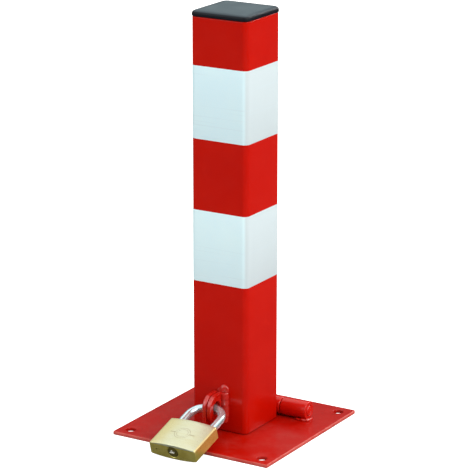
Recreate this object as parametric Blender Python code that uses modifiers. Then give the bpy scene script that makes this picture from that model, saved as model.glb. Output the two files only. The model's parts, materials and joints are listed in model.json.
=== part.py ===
"""Folding parking post with its hinge, base plate, locking lugs and padlock.

Units are metres, +Z is up. The origin is the centre of the base plate's underside.
The padlock hangs at the front (-Y) and the post folds down to the back (+Y).
"""
import math

import bmesh
import bpy
from mathutils import Matrix, Vector

# Base plate
PLATE_SIDE = 0.197
PLATE_THICKNESS = 0.004
PLATE_CORNER_RADIUS = 0.002
PLATE_EDGE_BEVEL = 0.0006
ANCHOR_HOLE_RADIUS = 0.0055
ANCHOR_HOLE_OFFSET = 0.084

# Post
POST_SIDE = 0.070
POST_WALL = 0.003
POST_CORNER_RADIUS = 0.007
POST_FOOT_GAP = 0.0015
POST_TOP = 0.4646
BAND_GAP = 0.00025
BAND_THICKNESS = 0.00035
BAND_HEIGHT = 0.080
BAND_BOTTOMS = {"reflective_band_lower": 0.172, "reflective_band_upper": 0.331}
CAP_OVERHANG = 0.001
CAP_THICKNESS = 0.006
CAP_SKIRT_DEPTH = 0.016
CAP_SKIRT_WALL = 0.002

# Hinge
GAP = 0.0003
BARREL_RADIUS = 0.010
BARREL_BORE_RADIUS = 0.0063
BARREL_OUTER_END = 0.070
BARREL_INNER_END = 0.036
PIN_RADIUS = 0.006
PIN_HALF_LENGTH = 0.0715
HINGE_Y = POST_SIDE / 2 + GAP + BARREL_RADIUS
HINGE_Z = PLATE_THICKNESS + GAP + BARREL_RADIUS
BARREL_WELD_INNER = 0.0068
BARREL_WELD_OUTER = 0.0120
BARREL_WELD_CREST = (0.0101, 0.0050)
BARREL_WELD_LENGTH = 0.018
KNUCKLE_WELD_HALF_LENGTH = 0.028
KNUCKLE_WELD_LEVELS = (0.0072, 0.0137)
KNUCKLE_WELD_CREST = (0.0043, 0.0106)

# Locking lugs
LUG_THICKNESS = 0.005
LUG_GAP = 0.001
LUG_NOSE_CENTRE = (-0.0475, 0.0355)
LUG_NOSE_RADIUS = 0.0145
LUG_HOLE_CENTRE = (-0.048, 0.0345)
LUG_HOLE_RADIUS = 0.0075
BASE_LUG_BACK = -0.0363
POST_LUG_FOOT = 0.018
LUG_WELD_SIZE = 0.004
BASE_LUG_WELD_SPAN = (0.0370, 0.0590)
POST_LUG_TOE_RADIUS = 0.0125
POST_LUG_WELD_FOOT = 0.013
POST_LUG_WELD_WIDTHS = (0.0060, 0.0078, 0.0074)
POST_LUG_WELD_SHOULDERS = (0.043, 0.050)
POST_LUG_WELD_PEAK = (0.0085, 0.0585)
POST_LUG_WELD_CREST = (0.0060, 0.0585)
POST_LUG_WELD_TOE = -0.0015
POST_LUG_WELD_STEP = 0.0006
POST_LUG_WELD_DEPTH = 0.0035

# Padlock. Its own frame has its origin on the shackle's crown, +Y from the body to the crown,
# +Z out of the upper face.
PADLOCK_SLOPE = math.radians(16.8)
CROWN_Y = LUG_HOLE_CENTRE[0]
CROWN_Z = LUG_HOLE_CENTRE[1] - 0.0008
BAR_RADIUS = 0.0045
LEG_OFFSET = 0.020
BODY_WIDTH = 0.0575
BODY_HEIGHT = 0.047
BODY_SIDE_THICKNESS = 0.014
BODY_BULGE = 0.0023
BODY_TOP = -0.0385
BODY_BOTTOM = BODY_TOP - BODY_HEIGHT
BODY_EDGE_BEVEL = 0.0004
LEG_BORE_RADIUS = 0.0049
TOE_END = -0.0513
TOE_BORE_END = -0.0545
HEEL_END = -0.0745
HEEL_BORE_END = -0.0808
HEEL_GROOVE = (-0.0556, -0.0720)
HEEL_GROOVE_RADIUS = 0.0032
DRAIN_RADIUS = 0.0010
NOTCH_FLOOR = 0.0173
NOTCH_MOUTH = 0.0150
NOTCH_LEVELS = (-0.0412, -0.0431, -0.0450, -0.0521)
NOTCH_CUT_REACH = 0.012
SMALL_PIN_RADIUS = 0.0012
SMALL_PIN_CLEARANCE = 0.0002
PIN_HOLE_REAR = -0.012
PIN_HOLE_END = 0.0042
HEEL_PIN_REAR = -0.0083
PLUG_PIN_REAR = -0.0089
HEEL_PIN_PLACE = (-0.0153, -0.0572)
PLUG_PIN_PLACE = (-0.0068, -0.0600)

# Lock cylinder, on the padlock's centre line
CYLINDER_BORE_RADIUS = 0.0066
CYLINDER_BORE_END = -0.0415
PLUG_RADIUS = 0.0063
PLUG_FACE = BODY_BOTTOM + 0.0004
PLUG_INNER_END = -0.0572
PLUG_GROOVE = (-0.0586, -0.0614)
PLUG_GROOVE_RADIUS = 0.0053
KEYWAY_HALF_WIDTH = 0.0011
KEYWAY_SPAN = (-0.0046, 0.0034)
CAM_HALF_LENGTH = 0.0055
CAM_HALF_WIDTH = 0.0015
CAM_SPAN = (-0.0462, -0.0568)
STACK_COUNT = 5
STACK_FIRST = -0.0632
STACK_PITCH = 0.0041
CHAMBER_RADIUS = 0.0017
TUMBLER_RADIUS = 0.0014
SHEAR_LINE = 0.00645
KEY_PIN_TIPS = (0.0012, 0.0020, 0.0016, 0.0024, 0.0014)
KEY_PIN_POINT = 0.001
DRIVER_LENGTH = 0.0052
DRIVER_SPRING_RADIUS = 0.0011
CHAMBER_PLUG_LENGTH = 0.0040

# Latch bolts
BOLT_HALF_THICKNESS = 0.0028
BOLT_CHANNEL_HALF_THICKNESS = 0.0032
BOLT_CHANNEL_LEVELS = (-0.0417, -0.0510)
BOLT_INNER_END = 0.0062
BOLT_TIP = 0.0170
BOLT_SHOULDER = 0.0151
BOLT_LEVELS = (-0.0421, -0.0434, -0.0446, -0.0505)
BOLT_SPRING_LEVEL = -0.0440
BOLT_SPRING_RADIUS = 0.0011
HEEL_SPRING_RADIUS = 0.0034

# Springs
SPRING_SIDES_RESOLUTION = 1
SPRING_POINTS_PER_TURN = 10

ALONG_X = Matrix(((0, 0, 1, 0), (1, 0, 0, 0), (0, 1, 0, 0), (0, 0, 0, 1)))
ALONG_Y = Matrix.Rotation(math.radians(90), 4, "X")


def clear_scene():
    """Remove whatever the scene holds."""
    for thing in list(bpy.data.objects):
        bpy.data.objects.remove(thing, do_unlink=True)


def make_collection(name):
    """A new collection under the scene's own."""
    collection = bpy.data.collections.new(name)
    bpy.context.scene.collection.children.link(collection)
    return collection


def make_material(name, colour, roughness, metallic):
    """A plain finish: colour, roughness and metallic value."""
    material = bpy.data.materials.new(name)
    material.use_nodes = True
    shader = material.node_tree.nodes["Principled BSDF"]
    shader.inputs["Base Color"].default_value = (*colour, 1.0)
    shader.inputs["Roughness"].default_value = roughness
    shader.inputs["Metallic"].default_value = metallic
    return material


clear_scene()
PARTS = make_collection("folding_parking_lock")
CUTTERS = make_collection("cutters")
RED_PAINT = make_material("red_paint", (0.60, 0.015, 0.006), 0.22, 0.0)
REFLECTIVE_WHITE = make_material("reflective_white", (0.74, 0.84, 0.88), 0.35, 0.0)
BLACK_PLASTIC = make_material("black_plastic", (0.02, 0.025, 0.028), 0.45, 0.0)
BRASS = make_material("brass", (0.72, 0.60, 0.25), 0.35, 1.0)
CHROMED_STEEL = make_material("chromed_steel", (0.80, 0.84, 0.88), 0.12, 1.0)
PLAIN_STEEL = make_material("plain_steel", (0.42, 0.42, 0.43), 0.35, 1.0)
SPRING_STEEL = make_material("spring_steel", (0.50, 0.50, 0.52), 0.30, 1.0)


def add_part(name, mesh, material, parent=None, origin=(0, 0, 0)):
    """Put a mesh into the model as a named part, with its origin at the point given."""
    mesh.transform(Matrix.Translation(-Vector(origin)))
    part = bpy.data.objects.new(name, mesh)
    part.location = origin
    part.parent = parent
    mesh.materials.append(material)
    PARTS.objects.link(part)
    return part


def add_helper(name, mesh, parent=None):
    """Put a mesh among the cutters, out of the model itself."""
    helper = bpy.data.objects.new(name, mesh)
    helper.parent = parent
    helper.hide_render = True
    helper.display_type = "WIRE"
    CUTTERS.objects.link(helper)
    return helper


def combine(part, operation, name, mesh):
    """Cut a mesh out of a part, or join it on."""
    modifier = part.modifiers.new(name, "BOOLEAN")
    modifier.operation = operation
    modifier.solver = "EXACT"
    modifier.object = add_helper(part.name + "_" + name, mesh, part.parent)


def bevel_edges(part, width, segments=1, angle=40):
    """Ease a part's sharp edges."""
    modifier = part.modifiers.new("eased_edges", "BEVEL")
    modifier.width = width
    modifier.segments = segments
    modifier.limit_method = "ANGLE"
    modifier.angle_limit = math.radians(angle)


def smooth(mesh, angle=35):
    """Shade the round stretches of a mesh smooth."""
    mesh.shade_smooth()
    mesh.set_sharp_from_angle(angle=math.radians(angle))
    return mesh


def mesh_from_curve(curve, name):
    """Turn a curve into a closed mesh, with its loose caps welded on."""
    guide = bpy.data.objects.new(name, curve)
    CUTTERS.objects.link(guide)
    view = bpy.context.evaluated_depsgraph_get()
    mesh = bpy.data.meshes.new_from_object(guide.evaluated_get(view))
    bpy.data.objects.remove(guide, do_unlink=True)
    shape = bmesh.new()
    shape.from_mesh(mesh)
    bmesh.ops.remove_doubles(shape, verts=shape.verts, dist=1e-6)
    bmesh.ops.recalc_face_normals(shape, faces=shape.faces)
    shape.to_mesh(mesh)
    shape.free()
    return mesh


def arc(centre, radius, start, end, steps):
    """Points of an arc between two angles in degrees."""
    turns = [math.radians(start + (end - start) * step / steps) for step in range(steps + 1)]
    return [(centre[0] + radius * math.cos(turn), centre[1] + radius * math.sin(turn)) for turn in turns]


def circle(centre, radius, sides=32):
    """Points of a full circle."""
    return arc(centre, radius, 0, 360 - 360 / sides, sides - 1)


def rounded_square(half, radius, steps=6):
    """Points of a square about the origin with round corners."""
    inner = half - radius
    points = []
    for quarter, (x, y) in enumerate(((inner, inner), (-inner, inner), (-inner, -inner), (inner, -inner))):
        points += arc((x, y), radius, 90 * quarter, 90 * quarter + 90, steps)
    return points


def prism(outlines, start, end, turn=Matrix()):
    """Flat outlines filled and drawn out from one level to another, then turned into place."""
    curve = bpy.data.curves.new("outline", "CURVE")
    curve.dimensions = "2D"
    curve.fill_mode = "BOTH"
    curve.extrude = abs(end - start) / 2
    for outline in outlines:
        spline = curve.splines.new("POLY")
        spline.points.add(len(outline) - 1)
        for point, place in zip(spline.points, outline):
            point.co = (*place, 0, 1)
        spline.use_cyclic_u = True
    mesh = mesh_from_curve(curve, "outline")
    mesh.transform(turn @ Matrix.Translation((0, 0, (start + end) / 2)))
    return smooth(mesh)


def box(low, high):
    """A block between two corners."""
    size = Vector(high) - Vector(low)
    middle = (Vector(high) + Vector(low)) / 2
    shape = bmesh.new()
    bmesh.ops.create_cube(shape, size=1, matrix=Matrix.Translation(middle) @ Matrix.Diagonal((*size, 1)))
    mesh = bpy.data.meshes.new("block")
    shape.to_mesh(mesh)
    shape.free()
    return mesh


def rod(radius, start, end, sides=32, end_radius=None):
    """A cylinder, or a cone, between two points."""
    start, end = Vector(start), Vector(end)
    along = end - start
    place = Matrix.Translation((start + end) / 2) @ along.to_track_quat("Z", "Y").to_matrix().to_4x4()
    shape = bmesh.new()
    bmesh.ops.create_cone(shape, cap_ends=True, segments=sides, radius1=radius,
                          radius2=radius if end_radius is None else end_radius,
                          depth=along.length, matrix=place)
    mesh = bpy.data.meshes.new("rod")
    shape.to_mesh(mesh)
    shape.free()
    return smooth(mesh)


def wire(points, radius, resolution):
    """A round wire along a list of points."""
    curve = bpy.data.curves.new("wire", "CURVE")
    curve.dimensions = "3D"
    curve.bevel_depth = radius
    curve.bevel_resolution = resolution
    curve.use_fill_caps = True
    spline = curve.splines.new("POLY")
    spline.points.add(len(points) - 1)
    for point, place in zip(spline.points, points):
        point.co = (*place, 1)
    return smooth(mesh_from_curve(curve, "wire"), 60)


def coil(start, end, radius, wire_radius, turns):
    """A helical spring between two points, its wire's ends kept inside them."""
    start, end = Vector(start), Vector(end)
    along = (end - start).normalized()
    side = along.orthogonal().normalized()
    up = along.cross(side)
    length = (end - start).length - 2 * wire_radius - GAP
    count = int(turns * SPRING_POINTS_PER_TURN)
    points = []
    for step in range(count + 1):
        turn = math.tau * turns * step / count
        rise = wire_radius + GAP / 2 + length * step / count
        points.append(start + along * rise + (side * math.cos(turn) + up * math.sin(turn)) * radius)
    return wire(points, wire_radius, SPRING_SIDES_RESOLUTION)


# ---------------------------------------------------------------- base

def base_plate():
    """Flat steel plate with four anchor holes."""
    outlines = [rounded_square(PLATE_SIDE / 2, PLATE_CORNER_RADIUS, 4)]
    for x in (-ANCHOR_HOLE_OFFSET, ANCHOR_HOLE_OFFSET):
        for y in (-ANCHOR_HOLE_OFFSET, ANCHOR_HOLE_OFFSET):
            outlines.append(circle((x, y), ANCHOR_HOLE_RADIUS, 24))
    plate = add_part("base_plate", prism(outlines, 0, PLATE_THICKNESS), RED_PAINT)
    bevel_edges(plate, PLATE_EDGE_BEVEL, angle=60)


def barrel(name, start, end):
    """One knuckle of the hinge: a thick tube about the hinge's axis."""
    rings = [circle((HINGE_Y, HINGE_Z), BARREL_RADIUS), circle((HINGE_Y, HINGE_Z), BARREL_BORE_RADIUS)]
    origin = ((start + end) / 2, HINGE_Y, HINGE_Z)
    return add_part(name, prism(rings, start, end, ALONG_X), RED_PAINT, origin=origin)


def hinge_pin():
    """Round pin through the three knuckles, with a chamfer at each end."""
    axis = [(x, HINGE_Y, HINGE_Z) for x in (-PIN_HALF_LENGTH, PIN_HALF_LENGTH)]
    pin = add_part("hinge_pin", rod(PIN_RADIUS, *axis), RED_PAINT, origin=(0, HINGE_Y, HINGE_Z))
    bevel_edges(pin, 0.0008)


def barrel_weld(name, side):
    """Weld along the foot of a side knuckle: both flanks and round its outer end."""
    foot = PLATE_THICKNESS + GAP
    crest_out, crest_up = BARREL_WELD_CREST
    outer = side * (BARREL_OUTER_END - 0.0005)
    inner = outer - side * BARREL_WELD_LENGTH
    flanks = []
    for flank in (-1, 1):
        section = [(HINGE_Y + flank * BARREL_WELD_INNER, foot),
                   (HINGE_Y + flank * BARREL_WELD_OUTER, foot),
                   (HINGE_Y + flank * crest_out, foot + crest_up)]
        tip = side * (BARREL_OUTER_END + 0.002)
        flanks.append(prism([section], min(inner, tip), max(inner, tip), ALONG_X))
    wall = side * (BARREL_OUTER_END + GAP)
    end = [(wall, foot), (wall + side * 0.0035, foot), (wall, foot + 0.0035)]
    toe = prism([end], -(HINGE_Y - 0.0105), -(HINGE_Y + 0.0105), ALONG_Y)
    weld = add_part(name, flanks[0], RED_PAINT)
    combine(weld, "UNION", "end", toe)
    combine(weld, "UNION", "far_flank", flanks[1])


def knuckle_weld():
    """Weld in the corner between the post's back face and the middle knuckle."""
    low, high = KNUCKLE_WELD_LEVELS
    crest_back, crest_up = KNUCKLE_WELD_CREST
    face = POST_SIDE / 2 + GAP
    section = [(face, HINGE_Z + low), (HINGE_Y - crest_back, HINGE_Z + crest_up), (face, HINGE_Z + high)]
    half = KNUCKLE_WELD_HALF_LENGTH
    add_part("knuckle_weld", prism([section], -half, half, ALONG_X), RED_PAINT)


def lug_outline(foot, back):
    """Side outline of a lug: straight foot and back, round nose, and the padlock's hole."""
    nose_y, nose_z = LUG_NOSE_CENTRE
    outline = [(back, foot), (back, nose_z + LUG_NOSE_RADIUS)]
    outline += arc(LUG_NOSE_CENTRE, LUG_NOSE_RADIUS, 90, 180, 10)
    return outline


def base_lug():
    """Upright lug welded to the plate, left of the middle."""
    outline = lug_outline(PLATE_THICKNESS + GAP, BASE_LUG_BACK)
    outline.append((LUG_NOSE_CENTRE[0] - LUG_NOSE_RADIUS, PLATE_THICKNESS + GAP))
    hole = circle(LUG_HOLE_CENTRE, LUG_HOLE_RADIUS)
    lug = add_part("base_lug", prism([outline, hole], -LUG_GAP / 2 - LUG_THICKNESS, -LUG_GAP / 2, ALONG_X),
                   RED_PAINT)
    bevel_edges(lug, 0.0006)


def post_lug():
    """Matching lug welded to the post's front face, right of the middle."""
    outline = lug_outline(POST_LUG_FOOT, -POST_SIDE / 2 - GAP)
    outline += [(LUG_NOSE_CENTRE[0] - LUG_NOSE_RADIUS, LUG_HOLE_CENTRE[1])]
    toe = POST_LUG_TOE_RADIUS
    outline += arc((LUG_NOSE_CENTRE[0] - LUG_NOSE_RADIUS + toe, POST_LUG_FOOT + toe), toe,
                   180, 270, 8)
    hole = circle(LUG_HOLE_CENTRE, LUG_HOLE_RADIUS)
    lug = add_part("post_lug", prism([outline, hole], LUG_GAP / 2, LUG_GAP / 2 + LUG_THICKNESS, ALONG_X),
                   RED_PAINT)
    bevel_edges(lug, 0.0006)


def lug_welds():
    """Fillet at the foot of the plate's lug, and a bead up the side and over the top of the post's lug."""
    foot = PLATE_THICKNESS + GAP
    left = -LUG_GAP / 2 - LUG_THICKNESS - GAP
    section = [(left, foot), (left, foot + LUG_WELD_SIZE), (left - LUG_WELD_SIZE, foot)]
    add_part("base_lug_weld", prism([section], *BASE_LUG_WELD_SPAN, ALONG_Y), RED_PAINT)
    right = LUG_GAP / 2 + LUG_THICKNESS + GAP
    crown = LUG_NOSE_CENTRE[1] + LUG_NOSE_RADIUS + GAP
    lower, upper = POST_LUG_WELD_SHOULDERS
    at_foot, at_lower, at_upper = POST_LUG_WELD_WIDTHS
    bead = [(right, POST_LUG_WELD_FOOT), (right + at_foot, POST_LUG_WELD_FOOT), (right + at_lower, lower),
            (right + at_upper, upper), POST_LUG_WELD_PEAK, POST_LUG_WELD_CREST,
            (POST_LUG_WELD_TOE, crown + POST_LUG_WELD_STEP), (POST_LUG_WELD_TOE, crown), (right, crown)]
    face = POST_SIDE / 2 + GAP
    weld = add_part("post_lug_weld", prism([bead], face, face + POST_LUG_WELD_DEPTH, ALONG_Y), RED_PAINT)
    bevel_edges(weld, 0.0010)


# ---------------------------------------------------------------- post

def post_tube():
    """Square hollow section with rounded corners, open at both ends."""
    half = POST_SIDE / 2
    outlines = [rounded_square(half, POST_CORNER_RADIUS, 8),
                rounded_square(half - POST_WALL, POST_CORNER_RADIUS - POST_WALL, 5)]
    foot = PLATE_THICKNESS + POST_FOOT_GAP
    add_part("post_tube", prism(outlines, foot, POST_TOP), RED_PAINT, origin=(0, HINGE_Y, HINGE_Z))


def reflective_bands():
    """Sheet bands wrapped round the post."""
    inner = POST_SIDE / 2 + BAND_GAP
    outer = inner + BAND_THICKNESS
    growth = inner - POST_SIDE / 2
    outlines = [rounded_square(outer, POST_CORNER_RADIUS + growth + BAND_THICKNESS, 8),
                rounded_square(inner, POST_CORNER_RADIUS + growth, 8)]
    for name, bottom in BAND_BOTTOMS.items():
        add_part(name, prism(outlines, bottom, bottom + BAND_HEIGHT), REFLECTIVE_WHITE)


def end_cap():
    """Plastic cap: a slab over the tube's end, and a ribbed skirt that plugs into it."""
    slab_half = POST_SIDE / 2 + CAP_OVERHANG
    slab_foot = POST_TOP + GAP
    slab_top = slab_foot + CAP_THICKNESS
    skirt_half = POST_SIDE / 2 - POST_WALL - GAP
    skirt_foot = POST_TOP - CAP_SKIRT_DEPTH
    skirt_radius = POST_CORNER_RADIUS - POST_WALL
    overlap = slab_foot + 0.001
    skirt = prism([rounded_square(skirt_half, skirt_radius, 5),
                   rounded_square(skirt_half - CAP_SKIRT_WALL, skirt_radius - CAP_SKIRT_WALL, 3)],
                  skirt_foot, overlap)
    reach = skirt_half - CAP_SKIRT_WALL / 3
    rib = CAP_SKIRT_WALL / 2
    rib_foot = skirt_foot + 0.002
    cap = add_part("end_cap", prism([rounded_square(slab_half, POST_CORNER_RADIUS + CAP_OVERHANG, 8)],
                                    slab_foot, slab_top), BLACK_PLASTIC)
    bevel_edges(cap, 0.0018, segments=3, angle=60)
    combine(cap, "UNION", "skirt", skirt)
    combine(cap, "UNION", "rib_across", box((-reach, -rib, rib_foot), (reach, rib, overlap + 0.0005)))
    combine(cap, "UNION", "rib_along", box((-rib, -reach, rib_foot + 0.001), (rib, reach, overlap + 0.001)))


# ---------------------------------------------------------------- padlock

def padlock_frame():
    """Empty on the shackle's crown, sloped as the padlock lies."""
    frame = bpy.data.objects.new("padlock_frame", None)
    frame.location = (0, CROWN_Y, CROWN_Z)
    frame.rotation_euler = (PADLOCK_SLOPE, 0, 0)
    CUTTERS.objects.link(frame)
    frame.hide_render = True
    return frame


def shackle(frame):
    """Bent bar: long heel leg on the left, short toe leg on the right, each with a latch notch."""
    bend_end = [(LEG_OFFSET * math.cos(turn), LEG_OFFSET * math.sin(turn) - LEG_OFFSET, 0)
                for turn in (math.pi * step / 20 for step in range(21))]
    points = [(LEG_OFFSET, TOE_END, 0)] + bend_end + [(-LEG_OFFSET, HEEL_END, 0)]
    bar = add_part("shackle", wire(points, BAR_RADIUS, 4), CHROMED_STEEL, frame)
    upper, top, bottom, lower = NOTCH_LEVELS
    for name, side in (("toe_notch", 1), ("heel_notch", -1)):
        profile = ((NOTCH_CUT_REACH, upper), (NOTCH_MOUTH, upper), (NOTCH_FLOOR, top), (NOTCH_FLOOR, bottom),
                   (NOTCH_MOUTH, lower), (NOTCH_CUT_REACH, lower))
        notch = [(side * x, y) for x, y in profile]
        combine(bar, "DIFFERENCE", name, prism([notch], -0.006, 0.006))
    start, end = HEEL_GROOVE
    ring = [circle((-LEG_OFFSET, 0), BAR_RADIUS + 0.001), circle((-LEG_OFFSET, 0), HEEL_GROOVE_RADIUS)]
    combine(bar, "DIFFERENCE", "heel_groove", prism(ring, -start, -end, ALONG_Y))


def body_section():
    """Padlock's section across: flat sides and two faces bulging to the middle."""
    half = BODY_WIDTH / 2
    side = BODY_SIDE_THICKNESS / 2
    steps = 14
    xs = [half - BODY_WIDTH * step / steps for step in range(steps + 1)]
    upper = [(x, side + BODY_BULGE * (1 - (x / half) ** 2)) for x in xs]
    return upper + [(-x, -z) for x, z in upper]


def stack_levels():
    """Places of the tumbler stacks along the cylinder."""
    return [STACK_FIRST - STACK_PITCH * number for number in range(STACK_COUNT)]


def lock_body(frame):
    """Solid brass case with the bores for the shackle, the cylinder, the bolts and the tumblers."""
    case = add_part("lock_body", prism([body_section()], -BODY_TOP, -BODY_BOTTOM, ALONG_Y), BRASS, frame)
    bevel_edges(case, BODY_EDGE_BEVEL)
    mouth = BODY_TOP + 0.002
    outside = BODY_BOTTOM - 0.002
    combine(case, "DIFFERENCE", "toe_bore",
            rod(LEG_BORE_RADIUS, (LEG_OFFSET, mouth, 0), (LEG_OFFSET, TOE_BORE_END, 0)))
    combine(case, "DIFFERENCE", "heel_bore",
            rod(LEG_BORE_RADIUS, (-LEG_OFFSET, mouth, 0), (-LEG_OFFSET, HEEL_BORE_END, 0)))
    combine(case, "DIFFERENCE", "cylinder_bore",
            rod(CYLINDER_BORE_RADIUS, (0, outside, 0), (0, CYLINDER_BORE_END, 0)))
    high, low = BOLT_CHANNEL_LEVELS
    depth = BOLT_CHANNEL_HALF_THICKNESS
    combine(case, "DIFFERENCE", "bolt_channel", box((-LEG_OFFSET, low, -depth), (LEG_OFFSET, high, depth)))
    combine(case, "DIFFERENCE", "drain",
            rod(DRAIN_RADIUS, (-LEG_OFFSET, outside, 0), (-LEG_OFFSET, HEEL_BORE_END + 0.001, 0), 16))
    for number, level in enumerate(stack_levels(), 1):
        combine(case, "DIFFERENCE", f"chamber_{number}",
                rod(CHAMBER_RADIUS, (0.004, level, 0), (BODY_WIDTH / 2 + 0.002, level, 0), 16))
    for name, (x, y) in (("heel_pin_hole", HEEL_PIN_PLACE), ("plug_pin_hole", PLUG_PIN_PLACE)):
        combine(case, "DIFFERENCE", name,
                rod(SMALL_PIN_RADIUS + SMALL_PIN_CLEARANCE, (x, y, PIN_HOLE_REAR), (x, y, PIN_HOLE_END), 16))


def retaining_pins(frame):
    """Two pressed-in pins: one holds the heel in the case, the other holds the plug."""
    for name, (x, y), rear in (("heel_retaining_pin", HEEL_PIN_PLACE, HEEL_PIN_REAR),
                               ("plug_retaining_pin", PLUG_PIN_PLACE, PLUG_PIN_REAR)):
        pin = rod(SMALL_PIN_RADIUS, (x, y, rear), (x, y, PIN_HOLE_END - GAP), 16)
        add_part(name, pin, PLAIN_STEEL, frame)


def key_plug(frame):
    """Turning core with its keyway, tumbler holes and retaining groove."""
    core = add_part("key_plug", rod(PLUG_RADIUS, (0, PLUG_FACE, 0), (0, PLUG_INNER_END, 0)), BRASS, frame)
    bevel_edges(core, 0.0004)
    near, far = KEYWAY_SPAN
    low, high = PLUG_FACE - 0.002, PLUG_INNER_END - 0.0024
    keyway = box((near, low, -KEYWAY_HALF_WIDTH), (far, high, KEYWAY_HALF_WIDTH))
    combine(core, "DIFFERENCE", "keyway", keyway)
    top, bottom = PLUG_GROOVE
    ring = [circle((0, 0), PLUG_RADIUS + 0.001), circle((0, 0), PLUG_GROOVE_RADIUS)]
    combine(core, "DIFFERENCE", "groove", prism(ring, -top, -bottom, ALONG_Y))
    for number, level in enumerate(stack_levels(), 1):
        combine(core, "DIFFERENCE", f"tumbler_hole_{number}",
                rod(CHAMBER_RADIUS, (0, level, 0), (PLUG_RADIUS + 0.002, level, 0), 16))


def plug_cam(frame):
    """Oval cam on the plug's inner end, which works the bolts."""
    oval = [(CAM_HALF_LENGTH * math.cos(turn), CAM_HALF_WIDTH * math.sin(turn))
            for turn in (math.tau * step / 32 for step in range(32))]
    top, bottom = CAM_SPAN
    add_part("plug_cam", prism([oval], -top, -bottom, ALONG_Y), PLAIN_STEEL, frame)


def tumbler_stacks(frame):
    """Key pin, driver pin, spring and closing plug of each stack, the pins parted at the shear line."""
    case_side = BODY_WIDTH / 2
    plug_start = case_side - CHAMBER_PLUG_LENGTH - 0.0003
    driver_start = SHEAR_LINE + GAP
    driver_end = driver_start + DRIVER_LENGTH
    for number, (level, tip) in enumerate(zip(stack_levels(), KEY_PIN_TIPS), 1):
        cone_end = tip + KEY_PIN_POINT
        cone = rod(TUMBLER_RADIUS * 0.5, (tip, level, 0), (cone_end, level, 0), 16, TUMBLER_RADIUS)
        key_pin = add_part(f"key_pin_{number}", cone, BRASS, frame)
        combine(key_pin, "UNION", "shank",
                rod(TUMBLER_RADIUS, (cone_end - 0.0001, level, 0), (SHEAR_LINE - GAP, level, 0), 16))
        driver = rod(TUMBLER_RADIUS, (driver_start, level, 0), (driver_end, level, 0), 16)
        add_part(f"driver_pin_{number}", driver, PLAIN_STEEL, frame)
        spring = coil((driver_end, level, 0), (plug_start, level, 0), DRIVER_SPRING_RADIUS, 0.0002, 7)
        add_part(f"driver_spring_{number}", spring, SPRING_STEEL, frame)
        stopper = rod(CHAMBER_RADIUS - 0.00012, (plug_start, level, 0), (case_side - GAP, level, 0), 16)
        add_part(f"chamber_plug_{number}", stopper, BRASS, frame)


def latch_bolts(frame):
    """Two sliding bolts whose bevelled noses sit in the shackle's notches."""
    upper, top, bottom, lower = BOLT_LEVELS
    for name, side in (("toe_bolt", 1), ("heel_bolt", -1)):
        profile = ((BOLT_INNER_END, upper), (BOLT_SHOULDER, upper), (BOLT_TIP, top), (BOLT_TIP, bottom),
                   (BOLT_SHOULDER, lower), (BOLT_INNER_END, lower))
        outline = [(side * x, y) for x, y in profile]
        blank = prism([outline], -BOLT_HALF_THICKNESS, BOLT_HALF_THICKNESS)
        bolt = add_part(name, blank, PLAIN_STEEL, frame)
        bevel_edges(bolt, 0.0002)


def lock_springs(frame):
    """Spring that pushes the two bolts apart, and spring under the heel that lifts the shackle."""
    reach = BOLT_INNER_END - GAP
    ends = [(side * reach, BOLT_SPRING_LEVEL, 0) for side in (-1, 1)]
    add_part("bolt_spring", coil(*ends, BOLT_SPRING_RADIUS, 0.00025, 7), SPRING_STEEL, frame)
    ends = [(-LEG_OFFSET, level, 0) for level in (HEEL_BORE_END, HEEL_END)]
    add_part("shackle_spring", coil(*ends, HEEL_SPRING_RADIUS, 0.0005, 3), SPRING_STEEL, frame)


def build_padlock():
    """All the pieces of the padlock, in its own sloped frame."""
    frame = padlock_frame()
    shackle(frame)
    lock_body(frame)
    retaining_pins(frame)
    key_plug(frame)
    plug_cam(frame)
    tumbler_stacks(frame)
    latch_bolts(frame)
    lock_springs(frame)


base_plate()
barrel("hinge_barrel_left", -BARREL_OUTER_END, -BARREL_INNER_END)
barrel("hinge_barrel_right", BARREL_INNER_END, BARREL_OUTER_END)
barrel("post_knuckle", -POST_SIDE / 2, POST_SIDE / 2)
hinge_pin()
barrel_weld("barrel_weld_left", -1)
barrel_weld("barrel_weld_right", 1)
knuckle_weld()
base_lug()
post_lug()
lug_welds()
post_tube()
reflective_bands()
end_cap()
build_padlock()
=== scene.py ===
"""Folding parking post: a red square post with reflective bands on a hinged base plate, held by a padlock."""
import json
import math

import bmesh
import bpy
import numpy as np
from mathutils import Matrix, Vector


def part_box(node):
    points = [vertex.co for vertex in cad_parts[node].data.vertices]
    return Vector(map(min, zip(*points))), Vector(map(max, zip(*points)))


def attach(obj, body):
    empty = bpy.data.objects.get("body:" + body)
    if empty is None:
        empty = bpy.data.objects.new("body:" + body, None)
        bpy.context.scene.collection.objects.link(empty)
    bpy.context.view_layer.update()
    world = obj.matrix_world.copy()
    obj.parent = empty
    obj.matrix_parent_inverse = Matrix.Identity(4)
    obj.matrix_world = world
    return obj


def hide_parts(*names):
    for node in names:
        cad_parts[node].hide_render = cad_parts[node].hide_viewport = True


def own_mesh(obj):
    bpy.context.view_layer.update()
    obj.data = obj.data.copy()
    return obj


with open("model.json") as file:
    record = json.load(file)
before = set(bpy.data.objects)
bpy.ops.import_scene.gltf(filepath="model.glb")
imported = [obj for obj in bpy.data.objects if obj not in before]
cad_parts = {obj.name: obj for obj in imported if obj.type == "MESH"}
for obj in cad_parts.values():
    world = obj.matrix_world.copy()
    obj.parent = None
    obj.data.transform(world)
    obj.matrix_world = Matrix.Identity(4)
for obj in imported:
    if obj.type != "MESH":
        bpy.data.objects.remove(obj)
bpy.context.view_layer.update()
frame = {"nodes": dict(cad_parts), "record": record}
FULL_TURN = 2 * math.pi


# ---------------------------------------------------------------- studio
# A pale floor and a bright sweep behind it. Large soft lights stand above, on the right and on the left, and
# the camera looks down a little on the post's front and right faces through a long lens.

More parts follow.
